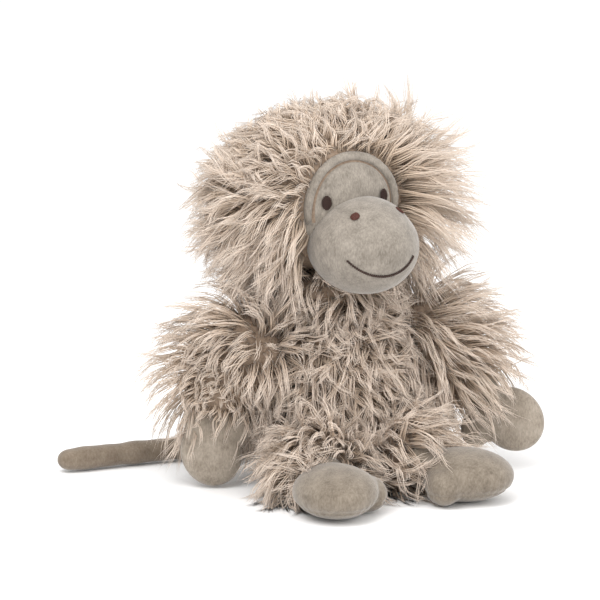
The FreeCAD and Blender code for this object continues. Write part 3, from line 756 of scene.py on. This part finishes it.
def furry(name, rings, replaced, comb, length, labels=("",)):
    """A padded skin and the fur on it, both riding on the body of the same name.

    comb gives the way the fur lies, and length how long it is, at the given roots and normals. With two
    labels the fur in front and the fur behind are a piece each."""
    spacing, seed, lift, droop, curl, tangle = FURS[name]
    rings[..., 2] = np.maximum(rings[..., 2], SKIN_FLOOR)
    skin = link_mesh(f"{name}_skin", ring_mesh(f"{name}_skin", rings), PAINTED_SHADE_BACKING)
    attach(skin, name)
    if replaced:
        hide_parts(replaced)
    roots, normals = scatter(skin, spacing * MM, seed)
    above = roots[:, 2] > FUR_FLOOR
    roots, normals = roots[above], normals[above]
    rng = np.random.default_rng(seed + 1)
    way = comb(roots, normals) + flow(roots, seed + 2, 30 * MM) * 0.8
    long = length(roots, normals)
    hairs, tone = grow_locks(rng, roots, normals, way, long, lift, droop, curl * MM, tangle)
    hairs = push_out(hairs, MUZZLE, MUZZLE_HALVES)
    behind = roots[:, 1] > np.median(roots[:, 1])
    part = np.repeat(behind * (len(labels) - 1), HAIRS_PER_LOCK)
    for number, label in enumerate(labels):
        chosen = part == number
        mesh = hair_mesh(f"{name}_fur{label}", hairs[chosen], tone[chosen], rng)
        fur = link_mesh(f"{name}_fur{label}", mesh, FUR)
        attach(fur, name)


def make_torso():
    """Egg-shaped body with tangled, hanging fur."""
    def comb(roots, normals):
        return (roots - TORSO) * (0.6, 0.6, 0) / (50 * MM) - UP * 1.1

    def length(roots, normals):
        return np.full(len(roots), TORSO_HAIR)

    furry("torso", egg_rings(TORSO, TORSO_SKIN_HALVES), "torso_fur_cover", comb, length,
          ("_front", "_back"))


def make_neck():
    """The collar of fur round the neck, whose CAD filling keeps its own shape inside."""
    neck = joint_place["neck_turn"]

    def comb(roots, normals):
        return (roots - neck) * (1, 1, 0.3)

    def length(roots, normals):
        return np.full(len(roots), NECK_HAIR)

    furry("neck", egg_rings(neck, NECK_SKIN_HALVES, rings=20, around=40), None, comb, length)


def make_limb(kind, side):
    """An arm with long silky hair that hangs past the wrist, or a fluffier leg."""
    root, end, past, radii = LIMBS[kind]
    start = joint_place[f"{kind}_{side}_{root}"]
    finish = joint_place[f"{HAND_OR_FOOT[kind]}_{side}_{end}"]
    way = unit(finish - start)
    aside = np.array((-1.0 if side == "right" else 1.0, 0, 0))
    palm = np.array(HAND_FACES[side])

    def comb(roots, normals):
        along = np.clip(((roots - start) @ way) / (30 * MM), 0, 1)[:, None]
        if kind == "arm":
            return way * (0.45 + 0.55 * along) + aside * (0.85 - 0.45 * along) - UP * 0.3
        return way * 1.1 + aside * 0.5 - UP * 0.2

    def length(roots, normals):
        along = np.clip(((roots - start) @ way) / (38 * MM), 0, 1)
        if kind == "arm":
            return MM * (46 - 36 * along * np.clip(PALM_SIDE_SHARE[side] * normals @ palm, 0, 1))
        return MM * (31 + 13 * along)

    rings = limb_rings(start - way * 6 * MM, finish + way * (past * MM), np.array(radii) * MM)
    furry(f"{kind}_{side}", rings, f"{kind}_{side}_fur_sleeve", comb, length)


# ------------------------------------------------------------------ hands and feet

PAW_VOXEL = 1.9 * MM
PAW_PRESSURE, PAW_SWELL = 2.0, 2.0 * MM
PAW_FILLING_EASE = 0.8 * MM
PAW_FLOOR = 0.25 * MM


def merged(name, parts, voxel):
    """Overlapping ellipsoids as one even mesh. Each part is its centre, its halves and its turn about
    local Z, in degrees."""
    things = []
    for centre, halves, turn in parts:
        rings = egg_rings((0, 0, 0), halves, rings=24, around=36)
        c, s = math.cos(math.radians(turn)), math.sin(math.radians(turn))
        spin = np.array(((c, -s, 0), (s, c, 0), (0, 0, 1)))
        thing = bpy.data.objects.new(name, ring_mesh(name, rings @ spin.T + centre))
        bpy.context.scene.collection.objects.link(thing)
        things.append(thing)
    whole = things[0]
    with bpy.context.temp_override(active_object=whole, selected_editable_objects=things):
        bpy.ops.object.join()
    remesh = whole.modifiers.new("even", "REMESH")
    remesh.mode, remesh.voxel_size = "VOXEL", voxel
    smooth = whole.modifiers.new("soften", "SMOOTH")
    smooth.iterations, smooth.factor = 6, 0.6
    apply_modifiers(whole)
    return whole


def apply_modifiers(piece):
    """Replaces a piece's mesh with what its modifiers make of it."""
    graph = bpy.context.evaluated_depsgraph_get()
    final = bpy.data.meshes.new_from_object(piece.evaluated_get(graph))
    piece.modifiers.clear()
    piece.data = final


def get_points(piece):
    """The points of a piece's mesh."""
    points = np.zeros(len(piece.data.vertices) * 3)
    piece.data.vertices.foreach_get("co", points)
    return points.reshape(-1, 3)


def set_points(piece, points):
    """Moves the points of a piece's mesh."""
    piece.data.vertices.foreach_set("co", points.astype(np.float32).ravel())
    piece.data.update()


def inflate(piece, pressure, cap):
    """Blows the piece up a little as cloth, so that its panels crease. No point moves further than cap."""
    before = get_points(piece)
    cloth = piece.modifiers.new("cloth", "CLOTH")
    settings = cloth.settings
    settings.use_pressure = True
    settings.uniform_pressure_force = pressure
    settings.effector_weights.gravity = 0
    settings.mass = 0.3
    settings.tension_stiffness = settings.compression_stiffness = 12
    settings.bending_stiffness = 0.4
    scene = bpy.context.scene
    for number in range(1, 21):
        scene.frame_set(number)
    apply_modifiers(piece)
    scene.frame_set(1)
    moved = get_points(piece) - before
    far = np.linalg.norm(moved, axis=1, keepdims=True)
    set_points(piece, before + moved * np.minimum(1, cap / np.maximum(far, 1e-9)))


def seam(points, height, centre):
    """A sewn groove round the edge of a shape, where local Z is height, with small puckers across it."""
    depth, width, pucker, puckers = 0.8 * MM, 1.3 * MM, 0.22 * MM, 34
    gap = points[:, 2] - height
    away = points[:, :2] - centre
    ring = unit(away)
    angle = np.arctan2(ring[:, 1], ring[:, 0])
    groove = np.exp(-(gap / width) ** 2)
    ripple = np.exp(-(gap / (5 * MM)) ** 2) * np.sin(angle * puckers) * pucker
    points = points.copy()
    points[:, :2] -= ring * (groove * depth)[:, None]
    points[:, :2] += ring * ripple[:, None]
    return points


def velour_paw(name, axes, origin, parts, seam_height, seam_centre, body, replaced, material):
    """A two-panel velour hand or foot, made in its own frame, then set at its joint."""
    piece = merged(name, parts, PAW_VOXEL)
    inflate(piece, PAW_PRESSURE, PAW_SWELL)
    divide = piece.modifiers.new("smooth", "SUBSURF")
    divide.levels = divide.render_levels = 1
    apply_modifiers(piece)
    points = seam(get_points(piece), seam_height, np.array(seam_centre))
    points = push_out(points, parts[0][0], parts[0][1] - PAW_FILLING_EASE, 1.0)
    points = points @ axes.T + origin
    points[:, 2] = np.maximum(points[:, 2], PAW_FLOOR)
    set_points(piece, points)
    piece.data.materials.clear()
    piece.data.materials.append(material)
    smooth = np.ones(len(piece.data.polygons), bool)
    piece.data.polygons.foreach_set("use_smooth", smooth)
    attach(piece, body)
    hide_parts(*replaced)


def make_hands():
    """Mittens: a palm, a thumb on the inner side and a narrow wrist."""
    for side, sign in zip(SIDES, (1, -1)):
        axes = axes_at(HAND_POINTS[side], np.cross(HAND_FACES[side], HAND_POINTS[side]))
        parts = [
            (np.array((30, 0, 0)) * MM, np.array((22.8, 20.2, 8.4)) * MM, 0),
            (np.array((17, 16 * sign, 0)) * MM, np.array((17.3, 12.4, 7.6)) * MM, 74 * sign),
            (np.array((8, 0, 0)) * MM, np.array((14, 12, 8)) * MM, 0),
        ]
        velour_paw(f"hand_velour_{side}", axes, joint_place[f"hand_{side}_flap"], parts, 0.0,
                   (24 * MM, 4 * sign * MM), f"hand_{side}", (f"hand_{side}_back", f"hand_{side}_palm"),
                   HAND_VELOUR)


def make_feet():
    """Soft feet that lie flat: a sole, a big toe on the inner side and an ankle."""
    for side, sign in zip(SIDES, (1, -1)):
        axes = axes_at(FOOT_POINTS[side], np.cross(UP, FOOT_POINTS[side]))
        origin = joint_place[f"foot_{side}_tilt"]
        level = 17 * MM - origin[2]
        turn = math.radians(38 * sign)
        toe = np.array((36 * math.cos(turn), 36 * math.sin(turn), -4)) * MM + (0, 0, level)
        parts = [
            (np.array((35, 0, 0)) * MM + (0, 0, level), np.array((32, 27.5, 16.5)) * MM, 0),
            (toe, np.array((15, 11, 12)) * MM, 38 * sign),
            (np.array((6, 0, 2)) * MM + (0, 0, level), np.array((14, 15, 14)) * MM, 0),
        ]
        velour_paw(f"foot_velour_{side}", axes, origin, parts, level - 8 * MM, (33 * MM, 4 * sign * MM),
                   f"foot_{side}", (f"foot_{side}_upper", f"foot_{side}_sole"), FOOT_VELOUR)


# ------------------------------------------------------------------ tail

TAIL_ROUTE = np.array(((0, 43, 12), (-8, 66, 9), (-32, 82, 8.2), (-60, 90, 8.2), (-132, 100, 8.2))) * MM
TAIL_RADIUS = 7.6 * MM
TAIL_TIP = 1.02 * TAIL_RADIUS * np.array((-0.99, 0.14, 0))


def smooth_line(route, parts):
    """Points at the given shares of the length of a smooth curve through the middles of a route's runs."""
    curve = bpy.data.curves.new("tail_line", "CURVE")
    curve.dimensions = "3D"
    spline = curve.splines.new("NURBS")
    spline.points.add(len(route) - 1)
    for point, place in zip(spline.points, route):
        point.co = (*place, 1)
    spline.order_u, spline.use_endpoint_u, spline.resolution_u = 3, True, 24
    carrier = bpy.data.objects.new("tail_line", curve)
    mesh = bpy.data.meshes.new_from_object(carrier)
    line = np.array([v.co for v in mesh.vertices])
    far = np.concatenate([[0], np.cumsum(np.linalg.norm(np.diff(line, axis=0), axis=1))])
    return np.stack([np.interp(parts * far[-1], far, line[:, k]) for k in range(3)], -1)


def make_tail():
    """A slim velour tube with a seam along each side and a rounded tip."""
    count, around = 150, 32
    part = 1 - (1 - np.linspace(0, 1, count)) ** 1.6
    route = np.vstack([TAIL_ROUTE[:-1], TAIL_ROUTE[-1] + TAIL_TIP])
    line = smooth_line(route, part)
    cap = 1.2 * TAIL_RADIUS / (np.linalg.norm(np.diff(line, axis=0), axis=1).sum())
    tip = np.sqrt(np.clip(1 - ((part - (1 - cap)) / cap).clip(0, 1) ** 2, 0.004, 1))
    radius = TAIL_RADIUS * tip * (1 + 0.035 * np.sin(part * 31) + 0.025 * np.sin(part * 57 + 1))
    even = np.linspace(0, 1, count)
    tangent = unit(np.gradient(smooth_line(route, even), axis=0))
    tangent = np.stack([np.interp(part, even, tangent[:, k]) for k in range(3)], -1)
    side = unit(np.cross(tangent, UP))
    over = np.cross(side, tangent)
    turn = np.linspace(0, 2 * math.pi, around, endpoint=False)
    groove = 1 - 0.10 * np.exp(-(np.sin(turn) / 0.16) ** 2)
    rings = rings_along(line, side, over, np.cos(turn) * groove * radius[:, None],
                        np.sin(turn) * 0.95 * radius[:, None])
    rings[..., 2] = np.maximum(rings[..., 2], 0.3 * MM)
    tail = link_mesh("tail_velour_tube", ring_mesh("tail_velour_tube", rings), TAIL_VELOUR)
    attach(tail, "tail")
    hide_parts("tail_cover", "tail_stuffing")


# ------------------------------------------------------------------ pieces inside

def dress_inside():
    """The filling, the bag and the beads keep their CAD shapes and get plain materials."""
    for name, node in frame["nodes"].items():
        if name.endswith("stuffing") and name != "tail_stuffing":
            dress(node, FILLING)
    dress(frame["nodes"]["pellet_bag"], COTTON)
    dress(frame["nodes"]["bean_pellets"], BEADS)


def dress(node, material):
    """Gives a node one material."""
    node.data.materials.clear()
    node.data.materials.append(material)


make_camera()
make_studio()
make_head()
make_panel()
make_brow()
make_muzzle()
make_embroidery()
make_torso()
make_neck()
for kind in LIMBS:
    for side in SIDES:
        make_limb(kind, side)
make_hands()
make_feet()
make_tail()
dress_inside()

bpy.context.view_layer.update()
